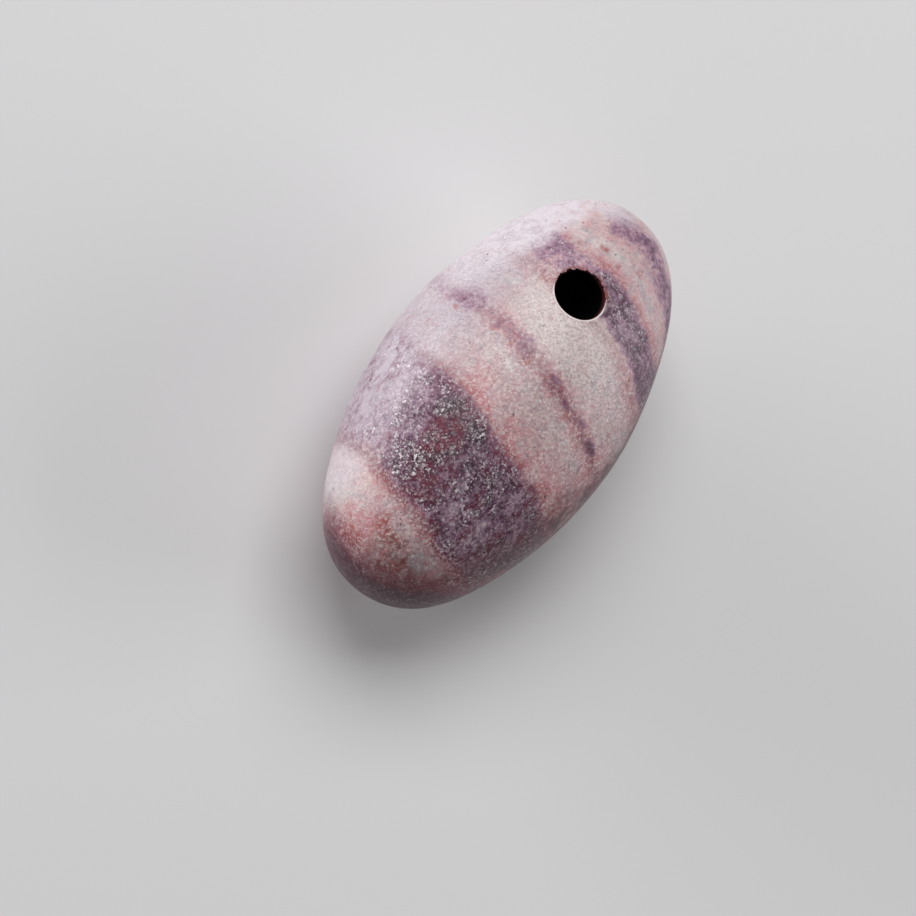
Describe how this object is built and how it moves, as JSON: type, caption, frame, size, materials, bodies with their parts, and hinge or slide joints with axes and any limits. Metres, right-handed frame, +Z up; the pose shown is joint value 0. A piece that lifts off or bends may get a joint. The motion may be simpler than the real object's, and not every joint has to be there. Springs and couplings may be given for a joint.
{
  "type": "shiva lingam stone",
  "caption": "Drilled ovoid tumbled stone of banded purple-grey sandstone, lying on a small flat, with a cord hole near one end.",
  "frame": {"origin": "on the surface that the stone lies on, under the middle of its box, which is also the middle of its small flat", "axes": "+X along the stone's length towards the drilled end, +Y across it, +Z up; the drilled hole runs along Z"},
  "size_m": [0.025, 0.0136, 0.0122],
  "materials": {
    "stone": "tumbled satin, banded in pale grey, plum and brick red, with light sand grains"
  },
  "bodies": {
    "root": {"stone": "stone"}
  },
  "joints": []
}
